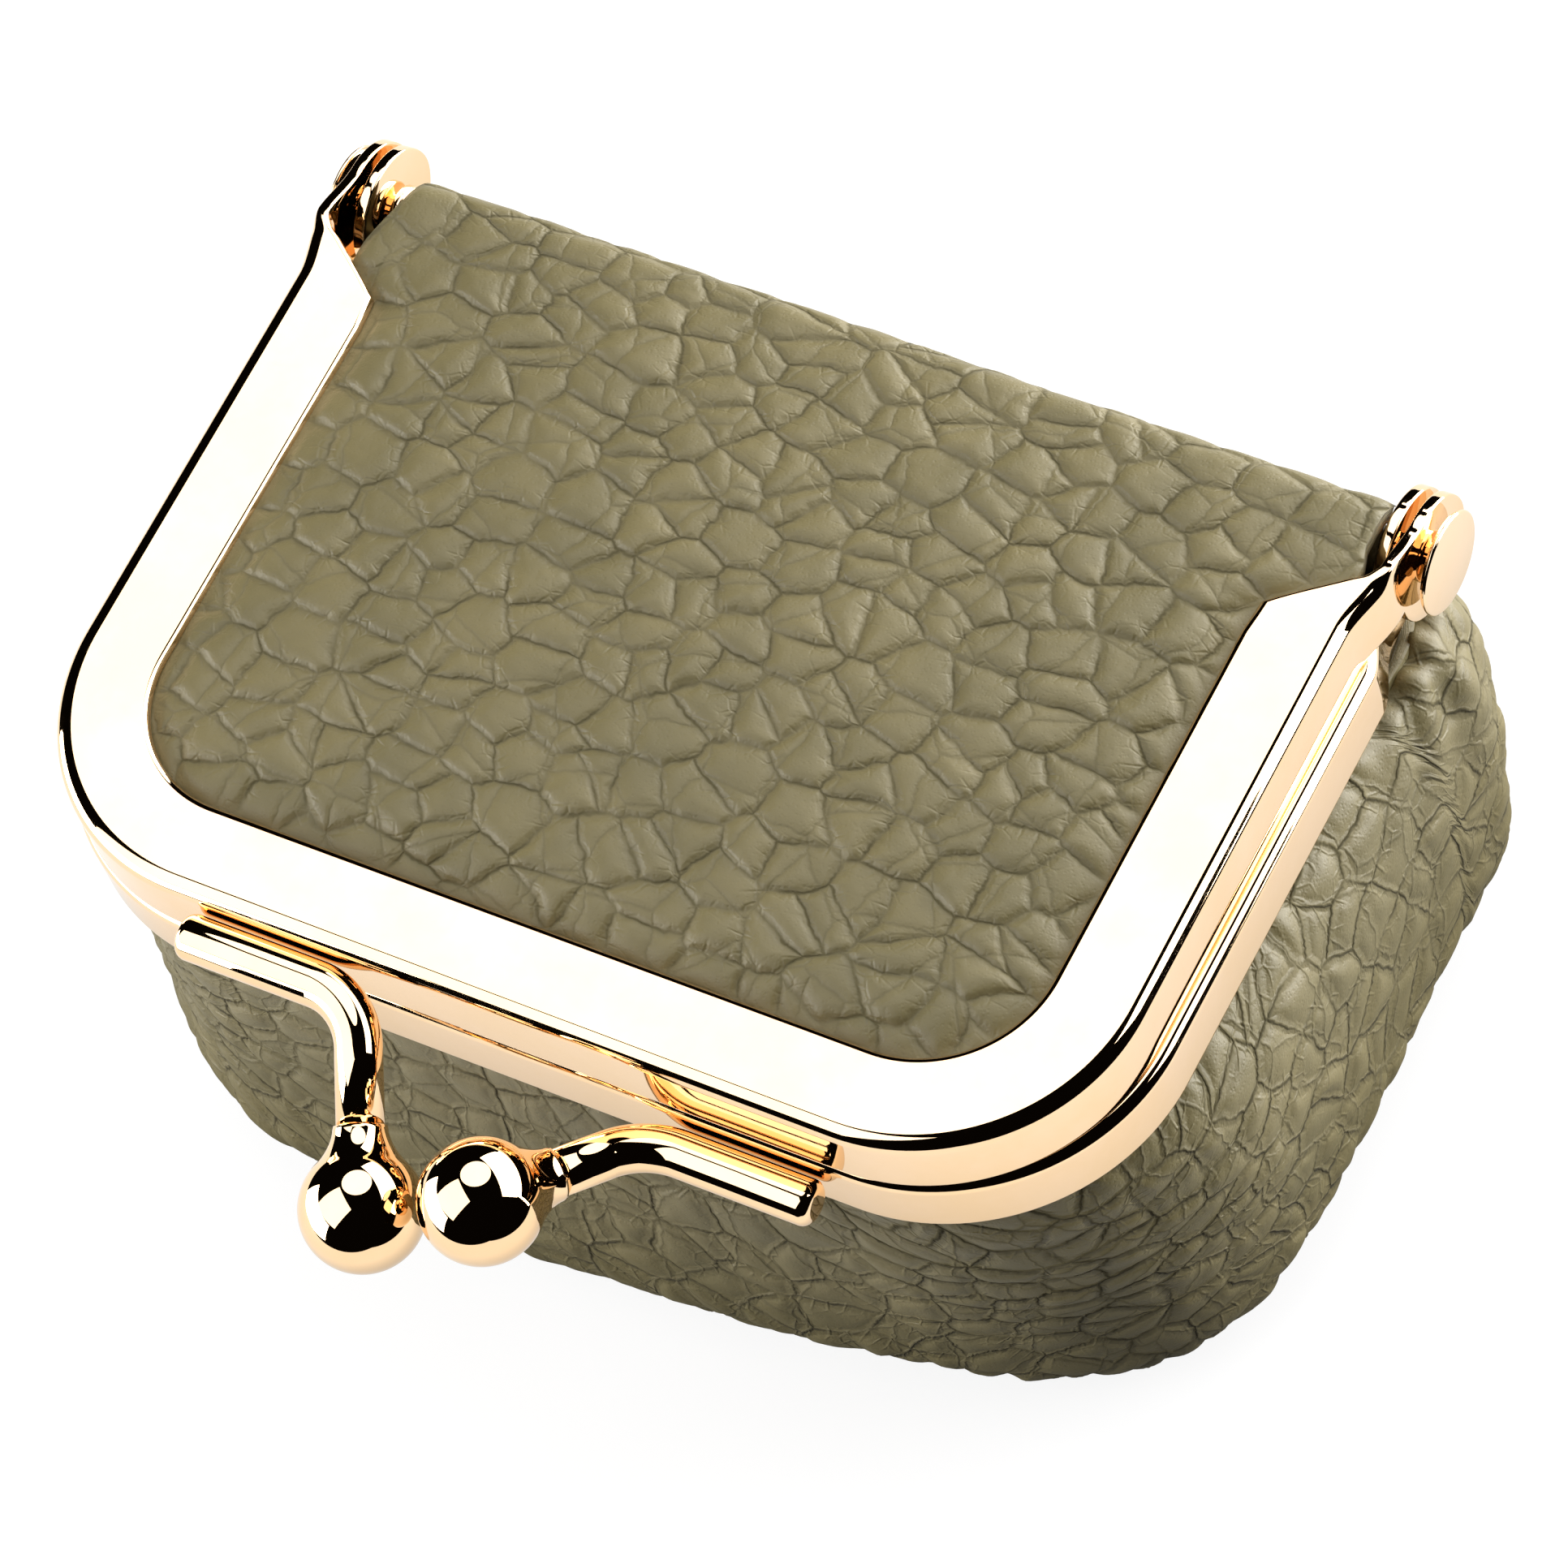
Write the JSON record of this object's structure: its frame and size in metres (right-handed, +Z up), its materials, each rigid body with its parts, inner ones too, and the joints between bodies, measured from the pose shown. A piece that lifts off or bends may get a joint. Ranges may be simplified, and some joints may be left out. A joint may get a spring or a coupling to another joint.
{
  "type": "jewelry pouch",
  "caption": "Small box-shaped leather jewelry pouch with a hinged lid in a polished U-shaped metal frame and a two-ball snap clasp.",
  "frame": {"origin": "on the surface that the pouch stands on, under the middle of its box", "axes": "+Z up, +X along the hinge axis, the clasp at -Y"},
  "size_m": [0.0812, 0.0713, 0.0402],
  "materials": {
    "gold_frame": "polished pale gold plate on stamped sheet",
    "gold_rivet": "satin pale gold plate",
    "gold_clasp": "mirror-polished pale gold plate",
    "leather": "olive grey pebbled leather with a soft sheen",
    "lining": "matte woven lining",
    "board": "plain grey-brown pasteboard",
    "paper_cord": "twisted paper cord"
  },
  "bodies": {
    "body": {"lower_frame": "gold_frame", "rivet_left": "gold_rivet", "rivet_right": "gold_rivet", "clasp_arm_lower": "gold_clasp", "clasp_ball_lower": "gold_clasp", "back_leather": "leather", "body_leather": "leather", "base_board": "board", "body_lining": "lining", "binding_cord_lower": "paper_cord"},
    "lid": {"upper_frame": "gold_frame", "clasp_arm_upper": "gold_clasp", "clasp_ball_upper": "gold_clasp", "lid_leather": "leather", "lid_board": "board", "lid_lining": "lining", "binding_cord_upper": "paper_cord"}
  },
  "joints": [
    {"name": "lid_hinge", "type": "hinge", "parent": "body", "child": "lid", "pos_m": [0, 0.03157, 0.0348], "axis": [-1, 0, 0], "range_deg": [0, 100]}
  ]
}
